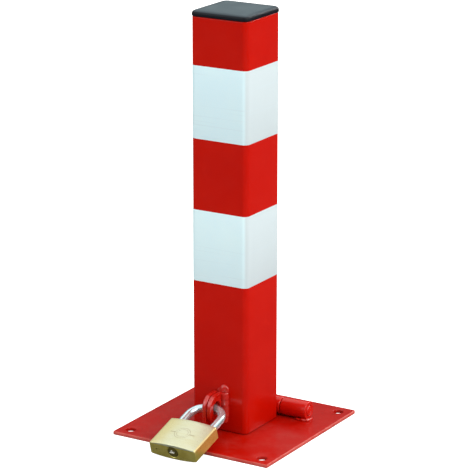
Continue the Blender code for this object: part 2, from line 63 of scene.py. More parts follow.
CAMERA_AZIMUTH = math.radians(31.2)
CAMERA_ELEVATION = math.radians(16.23)
CAMERA_DISTANCE = 2.7243
CAMERA_LENS = 191.6
CAMERA_TARGET = Vector((-0.0006, 0.0, 0.2188))
FLOOR_HALF = 6.0
PAPER_GREY = (0.70, 0.70, 0.70, 1)
WHITE = (1, 1, 1, 1)
DOME_WHITE = (1.0, 0.985, 0.96, 1)
DOME_RISE = {"From Min": 0.25, "From Max": 0.72, "To Min": 0.10, "To Max": 1.15}


def towards(azimuth, elevation):
    """Unit vector from the object to a viewer: azimuth 0 is the front, and it grows to the right."""
    flat = math.cos(elevation)
    return Vector((math.sin(azimuth) * flat, -math.cos(azimuth) * flat, math.sin(elevation)))


def aim(thing, place, target):
    """Put a camera or light at a place, facing a target."""
    thing.location = place
    thing.rotation_euler = (place - target).to_track_quat("Z", "Y").to_euler()


def soft_light(name, azimuth, elevation, distance, size, power, tint):
    """A square area light on a sphere about the post's middle: its direction in degrees, distance and width
    in metres, power in watts."""
    data = bpy.data.lights.new(name, "AREA")
    data.shape = "SQUARE"
    data.size = size
    data.energy = power
    data.color = tint
    light = bpy.data.objects.new(name, data)
    bpy.context.scene.collection.objects.link(light)
    place = CAMERA_TARGET + towards(math.radians(azimuth), math.radians(elevation)) * distance
    aim(light, place, CAMERA_TARGET)


camera_data = bpy.data.cameras.new("camera")
camera_data.lens = CAMERA_LENS
camera_data.clip_end = 50
camera = bpy.data.objects.new("camera", camera_data)
bpy.context.scene.collection.objects.link(camera)
aim(camera, CAMERA_TARGET + towards(CAMERA_AZIMUTH, CAMERA_ELEVATION) * CAMERA_DISTANCE, CAMERA_TARGET)
bpy.context.scene.camera = camera
bpy.context.scene.view_settings.view_transform = "Standard"

soft_light("key_right", 82, 30, 2.6, 1.4, 38, (1.0, 0.96, 0.91))
soft_light("fill_left", -38, 24, 3.0, 1.8, 18.5, (0.89, 0.97, 1.0))
soft_light("edge_back", 157, 30, 2.8, 0.9, 22, (1.0, 1.0, 1.0))


def sky():
    """Even white for the background, and for lighting a dome that is dim low down and bright high up: its
    strength rises smoothly with the height of the direction."""
    world = bpy.data.worlds.new("studio")
    bpy.context.scene.world = world
    world.use_nodes = True
    tree = world.node_tree
    tree.nodes.clear()

    def node(kind, **settings):
        made = tree.nodes.new(kind)
        for key, value in settings.items():
            setattr(made, key, value)
        return made

    direction = node("ShaderNodeTexCoord").outputs["Generated"]
    split = node("ShaderNodeSeparateXYZ")
    tree.links.new(direction, split.inputs[0])
    ramp = node("ShaderNodeMapRange", interpolation_type="SMOOTHSTEP")
    tree.links.new(split.outputs["Z"], ramp.inputs["Value"])
    for socket, value in DOME_RISE.items():
        ramp.inputs[socket].default_value = value
    dome = node("ShaderNodeBackground")
    dome.inputs["Color"].default_value = DOME_WHITE
    tree.links.new(ramp.outputs["Result"], dome.inputs["Strength"])
    paper = node("ShaderNodeBackground")
    paper.inputs["Color"].default_value = WHITE
    paper.inputs["Strength"].default_value = 1.0
    mix = node("ShaderNodeMixShader")
    tree.links.new(node("ShaderNodeLightPath").outputs["Is Camera Ray"], mix.inputs["Fac"])
    tree.links.new(dome.outputs[0], mix.inputs[1])
    tree.links.new(paper.outputs[0], mix.inputs[2])
    tree.links.new(mix.outputs[0], node("ShaderNodeOutputWorld").inputs["Surface"])


sky()


def link_mesh(name, points, faces):
    """A mesh object from an array of points and a list or array of faces."""
    mesh = bpy.data.meshes.new(name)
    mesh.from_pydata(np.asarray(points).tolist(), [], [list(face) for face in faces])
    mesh.validate()
    piece = bpy.data.objects.new(name, mesh)
    bpy.context.scene.collection.objects.link(piece)
    return piece


floor_corners = np.array([(-1, -1, 0), (1, -1, 0), (1, 1, 0), (-1, 1, 0)]) * FLOOR_HALF
floor = link_mesh("floor", floor_corners, [(0, 1, 2, 3)])
paper = bpy.data.materials.new("floor_paper")
paper.use_nodes = True
paper_shader = paper.node_tree.nodes["Principled BSDF"]
paper_shader.inputs["Base Color"].default_value = PAPER_GREY
paper_shader.inputs["Roughness"].default_value = 0.9
paper_shader.inputs["Emission Color"].default_value = WHITE
seen = paper.node_tree.nodes.new("ShaderNodeLightPath").outputs["Is Camera Ray"]
paper.node_tree.links.new(seen, paper_shader.inputs["Emission Strength"])
floor.data.materials.append(paper)
floor.visible_glossy = False


# ---------------------------------------------------------------- base plate
# Hot-rolled steel plate, sheared square with its corners eased and four anchor holes punched through. It is
# stove-enamelled signal red after welding, so the paint rounds every edge and lies a little uneven.

class Value:
    """A shader socket that can be used in sums: an expression on values adds its Math nodes."""

    def __init__(self, finish, socket):
        self.finish = finish
        self.socket = socket

    def join(self, operation, *values):
        return self.finish.node("ShaderNodeMath", {"operation": operation}, dict(enumerate(values)))

    def __add__(self, other):
        return self.join("ADD", self, other)

    def __sub__(self, other):
        return self.join("SUBTRACT", self, other)

    def __rsub__(self, other):
        return self.join("SUBTRACT", other, self)

    def __mul__(self, other):
        return self.join("MULTIPLY", self, other)

    __radd__ = __add__
    __rmul__ = __mul__

    def absolute(self):
        return self.join("ABSOLUTE", self)

    def most(self, other):
        return self.join("MAXIMUM", self, other)

    def ramp(self, start, end, low=0.0, high=1.0):
        """Smooth change from low to high as the value goes from start to end."""
        return self.finish.node("ShaderNodeMapRange", {"interpolation_type": "SMOOTHSTEP"}, {
            "Value": self, "From Min": start, "From Max": end, "To Min": low, "To Max": high})


class Finish:
    """A material with a Principled shader, built up from values."""

    def __init__(self, name, **constants):
        self.material = bpy.data.materials.new(name)
        self.material.use_nodes = True
        self.tree = self.material.node_tree
        self.shader = self.tree.nodes["Principled BSDF"]
        for socket, value in constants.items():
            self.shader.inputs[socket.replace("_", " ")].default_value = value

    def node(self, kind, settings=None, inputs=None, output=0):
        """Add a node: its settings first, then a value or a link for each socket named."""
        made = self.tree.nodes.new(kind)
        for key, value in (settings or {}).items():
            setattr(made, key, value)
        for key, value in (inputs or {}).items():
            if isinstance(value, Value):
                self.tree.links.new(value.socket, made.inputs[key])
            else:
                made.inputs[key].default_value = value
        return Value(self, made.outputs[output])

    def place(self, centre=(0, 0, 0), turn=(0, 0, 0), scale=(1, 1, 1)):
        """Object coordinates, moved to a centre, turned and scaled: scale x R(turn) x (point - centre)."""
        at = self.node("ShaderNodeTexCoord", output=3)
        moved = self.node("ShaderNodeVectorMath", {"operation": "SUBTRACT"}, {0: at, 1: centre})
        point = {"vector_type": "POINT"}
        turned_round = self.node("ShaderNodeMapping", point, {"Vector": moved, "Rotation": turn})
        return self.node("ShaderNodeMapping", point, {"Vector": turned_round, "Scale": scale})

    def axes(self, vector):
        """The three numbers of a vector."""
        made = self.tree.nodes.new("ShaderNodeSeparateXYZ")
        self.tree.links.new(vector.socket, made.inputs[0])
        return [Value(self, output) for output in made.outputs]

    def noise(self, vector, scale, detail=2.0, roughness=0.5):
        """Cloudy noise between 0 and 1."""
        return self.node("ShaderNodeTexNoise", {}, {"Vector": vector, "Scale": scale, "Detail": detail,
                                                   "Roughness": roughness})

    def cells(self, vector, scale):
        """Distance to the nearest of many scattered points, in a pattern of cells."""
        return self.node("ShaderNodeTexVoronoi", {}, {"Vector": vector, "Scale": scale})

    def blend(self, share, first, second):
        """Colour between two colours: the first at a share of 0, the second at 1."""
        return self.node("ShaderNodeMix", {"data_type": "RGBA"}, {0: share, 6: first, 7: second}, 2)

    def feed(self, socket, value):
        """Link a value to the shader."""
        self.tree.links.new(value.socket, self.shader.inputs[socket])

    def relief(self, height, distance):
        """Feed the shader's normal from a height: a height of 1 stands off by the distance."""
        self.feed("Normal", self.node("ShaderNodeBump", {}, {"Height": height, "Distance": distance}))


ENAMEL = np.array((0.545, 0.0060, 0.0008, 1))
ENAMEL_DEEP = np.array((0.510, 0.0045, 0.0006, 1))
ENAMEL_THIN = np.array((0.590, 0.0085, 0.0012, 1))
ENAMEL_PINPRICK = (0.22, 0.01, 0.006, 1)
ENAMEL_EDGE_HIGHLIGHT = (0.70, 0.17, 0.14, 1)
ROAD_DUST = (0.60, 0.42, 0.36, 1)


def red_enamel(name, gloss=0.20, peel=1.0, dust=0.0, shine=0.17, tone=1.0, edge=None):
    """Stoved enamel: slow changes of depth, fine orange peel, a few pinpricks and a share of dust in
    patches. A tone below 1 darkens every colour as painted shade, and one above 1 lightens it as painted
    light.
    Along the border of a plate with the half width given as its edge, the enamel is painted paler as a
    highlight."""
    # Painted light and shade: the tone scales every enamel colour up or down.
    light_and_shade_scale = np.array((tone, tone, tone, 1.0))
    finish = Finish(name, Specular_IOR_Level=shine, Coat_Roughness=0.06)
    at = finish.place()
    cloud = finish.noise(at, 14.0, 3.0)
    drift = finish.noise(at, 70.0, 2.0)
    deep = finish.blend(cloud.ramp(0.35, 0.68), ENAMEL_DEEP * light_and_shade_scale, ENAMEL * light_and_shade_scale)
    colour = finish.blend(drift.ramp(0.62, 0.85, 0.0, 0.4), deep, ENAMEL_THIN * light_and_shade_scale)
    specks = finish.cells(at, 260.0).ramp(0.055, 0.075, 1.0, 0.0) * finish.noise(at, 38.0).ramp(0.62, 0.66)
    colour = finish.blend(specks * 0.5, colour, ENAMEL_PINPRICK)
    if dust:
        settled = finish.noise(at, 42.0, 5.0, 0.65).ramp(0.42, 0.72, 0.0, dust)
        colour = finish.blend(settled, colour, ROAD_DUST)
    # Painted highlight: the enamel is blended paler along the plate's rounded border.
    if edge:
        across, along = finish.axes(at)[:2]
        border = across.absolute().most(along.absolute()).ramp(edge - 0.0012, edge - 0.0002, 0.0, 0.6)
        colour = finish.blend(border * drift.ramp(0.2, 0.6, 0.5, 1.0), colour, ENAMEL_EDGE_HIGHLIGHT)
    finish.feed("Base Color", colour)
    finish.feed("Roughness", drift.ramp(0.3, 0.8, gloss, gloss + 0.05) + specks * 0.2)
    finish.feed("Coat Weight", cloud.ramp(0.2, 0.8, 0.03, 0.05))
    peeled = finish.noise(at, 330.0, 1.5) * 0.7 + finish.noise(at, 900.0, 1.0) * 0.25
    finish.relief(peeled - specks * 0.9, 0.00006 * peel)
    return finish.material


def dress(piece, material, sharp=40):
    """Give a piece its only material, and shade it smooth except at sharp edges."""
    piece.data.materials.clear()
    piece.data.materials.append(material)
    piece.data.shade_smooth()
    piece.data.set_sharp_from_angle(angle=math.radians(sharp))
    return piece


SLOTS = {entry["node"]: entry["material_slot"] for entry in frame["record"]["subparts"]}
replaced_nodes = set()


def settle(piece, body, node):
    """The piece rides on a body and stands for a CAD node, which is hidden."""
    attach(piece, body)
    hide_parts(node)
    replaced_nodes.add(node)


def face_outwards(piece, merge=0.0):
    """Turn every face outwards, after joining points nearer to each other than the merge distance."""
    shape = bmesh.new()
    shape.from_mesh(piece.data)
    if merge:
        bmesh.ops.remove_doubles(shape, verts=shape.verts, dist=merge)
    bmesh.ops.recalc_face_normals(shape, faces=shape.faces)
    shape.to_mesh(piece.data)
    shape.free()


def ring_faces(rings, around, joined=False):
    """Four-cornered faces between neighbouring rings of points, as an array of corner numbers. Point i of
    ring r has the number r x around + i, and the face beside it takes in point i + 1 and both points of ring
    r + 1."""
    first = np.arange(rings if joined else rings - 1)[:, None] * around
    corner = first + np.arange(around)
    beside = first + (np.arange(around) + 1) % around
    total = rings * around
    return np.stack([corner, beside, (beside + around) % total, (corner + around) % total], -1).reshape(-1, 4)


def ring_skin(name, rings, joined=False):
    """A closed skin over rings of points, an array of rings x points x 3. When it is joined the last ring
    meets the first, and otherwise the first and last ring are each closed with one flat face."""
    rings = np.asarray(rings, float)
    count, around = rings.shape[:2]
    faces = ring_faces(count, around, joined).tolist()
    if not joined:
        faces.append(list(range(around))[::-1])
        faces.append(list(range((count - 1) * around, count * around)))
    piece = link_mesh(name, rings.reshape(-1, 3), faces)
    face_outwards(piece)
    return piece


def rays(turns):
    """Unit vectors (cos turn, sin turn) as rows."""
    return np.column_stack([np.cos(turns), np.sin(turns)])


def all_round(count):
    """Even turns once round, from 0 up."""
    return np.linspace(0, FULL_TURN, count, endpoint=False)


def rounding(radius, steps):
    """A quarter round from a wall up on to a flat, as pairs (in from the wall, down from the flat) that are
    (radius (1 - cos a), radius (1 - sin a)) for a from 0 to a quarter turn."""
    quarter = np.linspace(0, math.pi / 2, steps)
    return [(radius * (1 - math.cos(a)), radius * (1 - math.sin(a))) for a in quarter]


def at_levels(rings, axis=2):
    """An array of rings x points x 3 from pairs of a flat ring and its level along an axis."""
    return np.array([np.insert(flat, axis, level, axis=1) for flat, level in rings])


PLATE_LOW, PLATE_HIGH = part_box("base_plate")
PLATE_HALF = PLATE_HIGH.x
PLATE_TOP = PLATE_HIGH.z
PLATE_HOLE = 0.084
PLATE_HOLE_RADIUS = 0.0055
PLATE_CORNER = 0.002
PLATE_ROUND = 0.0010
HAIR = 1e-7


def plate_quarter():
    """One quarter of the plate as rings about its hole, from the hole's wall over the top, round the plate's
    edge and back underneath. A ray from the hole's centre meets the quarter's border at the least of its
    distances to the four sides, and inside the eased corner at its distance to the corner's circle."""
    corners = [math.atan2(y - PLATE_HOLE, x - PLATE_HOLE)
               for x, y in ((0, 0), (0, PLATE_HALF), (PLATE_HALF, 0))]
    turns = np.concatenate([np.linspace(-math.pi, math.pi, 96, endpoint=False), corners])
    turns = np.unique(np.round(turns, 9))
    ray = rays(turns)
    with np.errstate(divide="ignore", invalid="ignore"):
        reach = np.where(ray > 0, (PLATE_HALF - PLATE_HOLE) / ray, -PLATE_HOLE / ray)
    reach[~np.isfinite(reach)] = np.inf
    side = reach.argmin(1)
    border = PLATE_HOLE + ray * reach.min(1)[:, None]
    outward = np.zeros_like(border)
    number = np.arange(len(ray))
    outward[number, side] = ray[number, side] > 0
    on_seam = np.abs(border) < HAIR
    on_edge = np.abs(border - PLATE_HALF) < HAIR
    outward[on_seam[:, 0] & on_edge[:, 1]] = (0, 1)
    outward[on_edge[:, 0] & on_seam[:, 1]] = (1, 0)
    centre = PLATE_HALF - PLATE_CORNER
    eased = (border > centre).all(1)
    across = PLATE_HOLE - centre
    along = ray @ np.array([across, across])
    distance = -along + np.sqrt(np.maximum(along ** 2 - 2 * across ** 2 + PLATE_CORNER ** 2, 0))
    rounded = PLATE_HOLE + ray * distance[:, None]
    border = np.where(eased[:, None], rounded, border)
    outward = np.where(eased[:, None], (rounded - centre) / PLATE_CORNER, outward)

    hole = PLATE_HOLE + ray * PLATE_HOLE_RADIUS
    rings = [(hole + ray * inset, PLATE_TOP - drop) for inset, drop in rounding(PLATE_ROUND, 5)]
    inner = rings[-1][0]
    outer = border - outward * PLATE_ROUND
    rings += [(inner + (outer - inner) * share, PLATE_TOP) for share in (0.12, 0.4, 0.7)]
    rings += [(border - outward * inset, PLATE_TOP - drop) for drop, inset in rounding(PLATE_ROUND, 5)]
    low = PLATE_LOW.z
    burr = PLATE_ROUND / 2
    rings += [(border, low + burr), (border - outward * burr, low)]
    rings += [(hole + ray * burr, low), (hole, low + burr)]
    return at_levels(rings)


def base_plate_piece():
    """Four mirrored quarters, without the faces that would stand inside the plate on their shared sides."""
    quarter = plate_quarter()
    faces = ring_faces(*quarter.shape[:2], joined=True)
    points = quarter.reshape(-1, 3)
    on_seam = np.abs(points[:, :2]) < HAIR
    faces = faces[~on_seam[faces].all(1).any(1)]
    mirrors = ((1, 1, 1), (-1, 1, 1), (-1, -1, 1), (1, -1, 1))
    all_points = [points * mirror for mirror in mirrors]
    all_faces = [faces + number * len(points) for number in range(len(mirrors))]
    plate = link_mesh("plate", np.concatenate(all_points), np.concatenate(all_faces))
    face_outwards(plate, 0.00001)
    return plate


# Painted shade and highlight: the plate's enamel is darkened by its tone of 0.82 and painted paler along its
# border.
enamel_on_plate = red_enamel("enamel_on_plate", 0.22, 0.3, 0.03, tone=0.82, edge=PLATE_HALF)
settle(dress(base_plate_piece(), enamel_on_plate, 60), "base", "base_plate")


# ---------------------------------------------------------------- hinge
# Three thick-walled knuckles on one round pin behind the post. The outer two are welded down to the plate,
# and the middle one to the post's back face. The enamel has run over the ends of the knuckles and the pin.

HINGE_LOW, HINGE_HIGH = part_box("post_knuckle")
HINGE_Y = (HINGE_LOW.y + HINGE_HIGH.y) / 2
HINGE_Z = (HINGE_LOW.z + HINGE_HIGH.z) / 2
KNUCKLE_RADIUS = (HINGE_HIGH.z - HINGE_LOW.z) / 2
HINGE_AXIS = (1, 0, 0)
KNUCKLE_BORE = 0.0063
KNUCKLE_END = 0.0685
KNUCKLE_SIDES = 72
PIN_END = 0.0698
# Painted light: the knuckles' enamel is lightened by its tone of 1.15.
enamel_on_hinge = red_enamel("enamel_on_hinge", 0.22, 1.0, shine=0.5, tone=1.15)


def rounded_profile(corners, radius, steps=4):
    """A closed profile whose corners are rounded, each by its own radius: a corner gives way to points of a
    curve from one radius before it to one radius after it, (1-t)^2 x start + 2t(1-t) x corner + t^2 x
    end."""
    corners = np.asarray(corners, float)
    before = np.roll(corners, 1, 0) - corners
    after = np.roll(corners, -1, 0) - corners
    radius = np.asarray(radius)[:, None]
    start = corners + before / np.linalg.norm(before, axis=1)[:, None] * radius
    end = corners + after / np.linalg.norm(after, axis=1)[:, None] * radius
    t = np.linspace(0, 1, steps + 1)[None, :, None]
    curve = (1 - t) ** 2 * start[:, None] + 2 * t * (1 - t) * corners[:, None] + t ** 2 * end[:, None]
    return curve.reshape(-1, 2)


def turned(name, profile, centre, axis, sides=KNUCKLE_SIDES, joined=True):
    """A turned piece: profile points (radius, place along the axis) carried round the axis, so that a point
    is centre + place x axis + radius x (cos turn x side + sin turn x up)."""
    axis = Vector(axis).normalized()
    side = axis.orthogonal().normalized()
    up = axis.cross(side)
    profile = np.asarray(profile, float)
    circle = rays(all_round(sides)) @ np.array((side, up))
    rings = (np.array(centre) + profile[:, 1, None, None] * np.array(axis)
             + profile[:, 0, None, None] * circle[None])
    return ring_skin(name, rings, joined)


def knuckle(name, body, node):
    """A knuckle between the ends of its CAD node or the knuckles' own end: the four corners of a tube's
    wall, the outer two well rounded, carried round the hinge's axis."""
    low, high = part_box(node)
    start, end = max(low.x, -KNUCKLE_END), min(high.x, KNUCKLE_END)
    wall = [(KNUCKLE_BORE, start), (KNUCKLE_RADIUS, start), (KNUCKLE_RADIUS, end), (KNUCKLE_BORE, end)]
    profile = rounded_profile(wall, (0.0005, 0.0012, 0.0012, 0.0005))
    piece = turned(name, profile, (0, HINGE_Y, HINGE_Z), HINGE_AXIS)
    settle(dress(piece, enamel_on_hinge), body, node)


knuckle("knuckle_left", "base", "hinge_barrel_left")
knuckle("knuckle_right", "base", "hinge_barrel_right")
knuckle("knuckle_middle", "post", "post_knuckle")

pin_low, pin_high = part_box("hinge_pin")
pin_radius = (pin_high.z - pin_low.z) / 2
pin_dome = ((0.62, 0.0001), (0.86, 0.0006), (0.97, 0.0016), (1.0, 0.0030))
pin_profile = [(0.0004, -PIN_END)] + [(pin_radius * share, -PIN_END + rise) for share, rise in pin_dome]
pin_profile += [(radius, -place) for radius, place in pin_profile[::-1]]
pin = turned("hinge_rod", pin_profile, (0, HINGE_Y, HINGE_Z), HINGE_AXIS, joined=False)
settle(dress(pin, enamel_on_hinge), "base", "hinge_pin")


BEAD_STEP = 0.0005
BEAD_LAG = 0.35
enamel_on_welds = red_enamel("enamel_on_welds", 0.22, 1.6, 0.06, shine=0.9)


def bead(name, path, widths, lift, ripple=0.10, pitch=0.0030, up=(0, 0, 1), sides=20):
    """A weld bead: an oval carried along a path that is smoothed first, its half width following those given
    at the path's points, and its half height the lift times that. Each melted drop makes it width x (1 +
    ripple x |sin(pi s / pitch)|) at the length s, its top lags behind by lag x pitch x the same wave, and its
    ends close in a half oval."""
    path = np.asarray(path, float)
    widths = np.asarray(widths, float)
    lengths = np.concatenate([[0], np.cumsum(np.linalg.norm(np.diff(path, axis=0), axis=1))])
    s = np.linspace(0, lengths[-1], max(24, int(lengths[-1] / BEAD_STEP)))
    kernel = np.hanning(9)[1:-1] / np.hanning(9).sum()
    straight = [np.interp(s, lengths, path[:, axis]) for axis in range(3)]
    padded = [np.pad(line, 3, mode="reflect", reflect_type="odd") for line in straight]
    centre = np.stack([np.convolve(line, kernel, mode="valid") for line in padded], 1)
    tangent = np.gradient(centre, axis=0)
    tangent /= np.linalg.norm(tangent, axis=1)[:, None]
    side = np.cross(tangent, np.asarray(up, float))
    side /= np.linalg.norm(side, axis=1)[:, None]
    top = np.cross(side, tangent)
    wave = np.abs(np.sin(math.pi * s / pitch))
    width = np.interp(s, lengths, widths) * (1 + ripple * wave)
    end = np.minimum(s, lengths[-1] - s) / (widths.mean() * 0.9)
    width = width * np.sqrt(np.clip(1 - (1 - np.clip(end, 0, 1)) ** 2, 0.02, 1))
    turn = all_round(sides)
    lag = -BEAD_LAG * pitch * wave[:, None] * np.clip(np.sin(turn), 0, 1)
    oval = np.cos(turn)[None, :, None] * side[:, None] + lift * np.sin(turn)[None, :, None] * top[:, None]
    rings = centre[:, None] + width[:, None, None] * oval + lag[..., None] * tangent[:, None]
    return dress(ring_skin(name, rings), enamel_on_welds, 80)


KNUCKLE_FOOT = KNUCKLE_RADIUS * 0.80
KNUCKLE_WELD_TRACK = np.array([(0.0560, -1.0, 0.0008), (0.0640, -1.0, 0.0008), (0.0692, -0.8, 0.0008),
                               (0.0704, -0.1, 0.0006), (0.0700, 0.7, 0.0006)])
KNUCKLE_WELD_WIDTHS = (0.0012, 0.0018, 0.0028, 0.0024, 0.0014)
BACK_WELD_HALF = 0.029
BACK_WELD_WIDTH = 0.0034
for side_name, side in (("left", -1), ("right", 1)):
    track = KNUCKLE_WELD_TRACK * (side, KNUCKLE_FOOT, 1) + (0, HINGE_Y, PLATE_TOP)
    foot_weld = bead("knuckle_foot_weld_" + side_name, track, KNUCKLE_WELD_WIDTHS, 0.85, 0.25, 0.0060)
    settle(foot_weld, "base", "barrel_weld_" + side_name)

post_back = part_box("post_tube")[1].y
x = np.linspace(-BACK_WELD_HALF, BACK_WELD_HALF, 9)
track = np.stack([x, post_back + 0.0028 + 0.0002 * np.sin(900 * x), np.full(9, HINGE_Z + 0.0082)], 1)
back_weld = bead("knuckle_back_weld", track, np.full(9, BACK_WELD_WIDTH), 0.9, up=(0, 1, 1))
settle(back_weld, "post", "knuckle_weld")


# ---------------------------------------------------------------- lugs
# Two flame-cut lugs stand side by side with a card's gap between them. The left one is welded upright to the
# plate, the right one to the post's front face, and the padlock goes through the hole in both.

LUG_HOLE = (-0.048, 0.0345)
LUG_HOLE_RADIUS = 0.0075
LUG_ROUND = 0.0011
LUG_NOSE = (-0.0475, 0.0355)
LUG_NOSE_RADIUS = 0.0145
LUG_SINK = 0.0005
PLATE_LUG_TOE = 0.0006
FRONT_LUG_TOE = 0.0120
SIDE_WELD_LEVELS = (0.0140, 0.025, 0.037, 0.044, 0.0520)
SIDE_WELD_WIDTHS = (0.0034, 0.0046, 0.0050, 0.0050, 0.0040)
TOP_WELD_TRACK = ((-0.0015, 0.0504), (0.0030, 0.0516), (0.0072, 0.0530), (0.0104, 0.0514), (0.0132, 0.0498))
TOP_WELD_WIDTHS = (0.0014, 0.0034, 0.0058, 0.0036, 0.0016)
enamel_on_lugs = red_enamel("enamel_on_lugs", 0.24, 1.2, shine=0.9)


def lug_side(foot, back, toe):
    """Side outline of a lug in (Y, Z) as a closed line: up the back edge, along the top, round the nose by a
    quarter circle, down the front edge and in to the foot by a quarter circle of the toe's radius."""
    nose_y, nose_z = LUG_NOSE
    nose = LUG_NOSE + LUG_NOSE_RADIUS * rays(np.radians(np.linspace(90, 180, 24)))
    toe_middle = (nose_y - LUG_NOSE_RADIUS + toe, foot + toe)
    turned_in = toe_middle + toe * rays(np.radians(np.linspace(180, 270, 16)))
    return np.concatenate([[(back, foot), (back, nose_z + LUG_NOSE_RADIUS)], nose, turned_in])


def from_centre(outline, centre, turns):
    """Points where rays from the centre c, at the given turns, meet a closed outline. A ray meets its side
    from a to b at the distance cross(a - c, b - a) / cross(ray, b - a), if it does so between a and b."""
    start = outline - centre
    along = np.roll(outline, -1, 0) - outline
    ray = rays(turns)
    bottom = ray[:, None, 0] * along[None, :, 1] - ray[:, None, 1] * along[None, :, 0]
    top = (start[:, 0] * along[:, 1] - start[:, 1] * along[:, 0])[None]
    share_top = start[None, :, 0] * ray[:, None, 1] - start[None, :, 1] * ray[:, None, 0]
    with np.errstate(divide="ignore", invalid="ignore"):
        reach = top / bottom
        share = share_top / bottom
    hit = (reach > 0) & (share > -1e-6) & (share < 1 + 1e-6)
    reach = np.where(hit, reach, -1).max(1)
    return centre + ray * reach[:, None]


def lug(name, body, node, foot, back, toe):
    """A lug as rings about its hole: the hole's rounded edge, the right face, the rounded outer edge and the
    same mirrored for the left face. The rounding draws the outer edge in towards the hole's centre."""
    low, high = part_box(node)
    turns = np.linspace(-math.pi, math.pi, 160, endpoint=False)
    centre = np.array(LUG_HOLE)
    outline = from_centre(lug_side(foot, back, toe), centre, turns)
    ray = rays(turns)
    hole = centre + ray * LUG_HOLE_RADIUS
    half = (high.x - low.x) / 2
    rings = [(hole + ray * inset, half - drop) for inset, drop in rounding(LUG_ROUND, 6)]
    rings += [(outline - ray * inset, half - drop) for drop, inset in rounding(LUG_ROUND, 6)]
    rings += [(flat, -level) for flat, level in rings[::-1]]
    middle = ((high.x + low.x) / 2, 0, 0)
    piece = ring_skin(name, at_levels(rings, 0) + middle, joined=True)
    settle(dress(piece, enamel_on_lugs), body, node)


post_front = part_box("post_tube")[0].y
lug("plate_lug", "base", "base_lug", PLATE_TOP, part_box("base_lug")[1].y, PLATE_LUG_TOE)
lug("front_lug", "post", "post_lug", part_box("post_lug")[0].z, post_front + LUG_SINK, FRONT_LUG_TOE)

lug_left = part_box("base_lug")[0].x
track = [(lug_left - 0.0006, y, PLATE_TOP + 0.0008) for y in (-0.0385, -0.044, -0.050, -0.0575)]
foot_weld = bead("plate_lug_weld", track, (0.0030, 0.0034, 0.0033, 0.0028), 0.95)
settle(foot_weld, "base", "base_lug_weld")

lug_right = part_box("post_lug")[1].x
track = [(lug_right + 0.0024, post_front, z) for z in SIDE_WELD_LEVELS]
side_weld = bead("front_lug_weld", track, SIDE_WELD_WIDTHS, 0.84, 0.10, 0.0068, up=(0, -1, 0))
settle(side_weld, "post", "post_lug_weld")
track = [(x, post_front, z) for x, z in TOP_WELD_TRACK]
top_weld = bead("front_lug_top_weld", track, TOP_WELD_WIDTHS, 0.62, 0.06, 0.0050, up=(0, -1, 0))
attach(top_weld, "post")


# ---------------------------------------------------------------- post
# A length of square hollow section, sawn square and enamelled. Its corners are rolled to a soft radius. The
# seam of the tube is dressed flush and doesn't show.

POST_LOW, POST_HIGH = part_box("post_tube")
POST_HALF = POST_HIGH.x
POST_WALL = 0.003
POST_CORNER = 0.0062
POST_TOP = POST_HIGH.z - 0.0010
POST_RIM = 0.0011
POST_FOOT = POST_LOW.z - 0.0009
POST_BORE = POST_HALF - POST_WALL


def square_ring(half, corner, steps=12, flats=3):
    """Points round a square with rolled corners, in (X, Y). Quarter q is a quarter circle about the corner's
    middle and then a straight side with a few points of its own, all turned by q right angles. Rings with
    the same numbers of points match."""
    inner = half - corner
    turn = np.linspace(0, math.pi / 2, steps + 1)
    curve = inner + corner * rays(turn)
    side = np.column_stack([np.linspace(inner, -inner, flats + 2)[1:-1], np.full(flats, half)])
    quarter = np.concatenate([curve, side])
    right_angles = [np.array(((1, 0), (0, 1))), np.array(((0, 1), (-1, 0)))]
    right_angles += [-turned_by for turned_by in right_angles]
    return np.concatenate([quarter @ turned_by for turned_by in right_angles])


def stacked(name, levels, joined=False):
    """A skin over square rings, each given as (half width, corner radius, height)."""
    rings = [(square_ring(half, min(corner, half * 0.98)), height) for half, corner, height in levels]
    return ring_skin(name, at_levels(rings), joined)


rim = rounding(POST_RIM, 5)
levels = [(POST_HALF - inset, POST_CORNER - inset, POST_FOOT + rise) for rise, inset in rim]
levels += [(POST_HALF, POST_CORNER, height) for height in np.linspace(POST_FOOT + 0.01, POST_TOP - 0.01, 12)]
levels += [(POST_HALF - inset, POST_CORNER - inset, POST_TOP - drop) for inset, drop in rim]
levels += [(POST_BORE, POST_CORNER - POST_WALL, height) for height in (POST_TOP, POST_FOOT)]
tube = dress(stacked("post_shell", levels, joined=True), red_enamel("enamel_on_post", 0.17, 0.8))
settle(tube, "post", "post_tube")


# ---------------------------------------------------------------- reflective bands
# White retro-reflective sheet with a backing of adhesive, wrapped once round the post and lapped over itself
# on the back. Fine glass beads under its clear face make it faintly grainy, and it shows a bluish white.

SHEET_THICKNESS = 0.00022
SHEET_GLUE = 0.00003
SHEET_RIM = 0.00015
LAP_HALF = 0.006
BEAD_WHITE = (0.90, 0.96, 0.98, 1)
RIGHT_FACE_SHADE_GREY = (0.60, 0.70, 0.74, 1)
ROLL_STREAK = (0.60, 0.73, 0.80, 1)


def band(name, node):
    """A wrapped sheet as rings round the post: along a normal of the post it reaches from the glue to the
    glue plus the sheet's thickness, or twice that in the lap on the post's back face."""
    low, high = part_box(node)
    flat = square_ring(POST_HALF, POST_CORNER, 14, 60)
    along = np.roll(flat, -1, 0) - np.roll(flat, 1, 0)
    outward = np.column_stack([along[:, 1], -along[:, 0]])
    outward /= np.linalg.norm(outward, axis=1)[:, None]
    lapped = (flat[:, 1] > POST_HALF * 0.99) & (np.abs(flat[:, 0]) < LAP_HALF)
    thickness = np.where(lapped, 2.0, 1.0)[:, None] * SHEET_THICKNESS
    inner, eased, outer = [flat + outward * (SHEET_GLUE + thickness * share) for share in (0, 0.7, 1)]
    rings = [(inner, low.z), (eased, low.z), (outer, low.z + SHEET_RIM), (outer, (low.z + high.z) / 2),
             (outer, high.z - SHEET_RIM), (eased, high.z), (inner, high.z)]
    settle(dress(ring_skin(name, at_levels(rings), joined=True), reflective_sheet), "post", node)


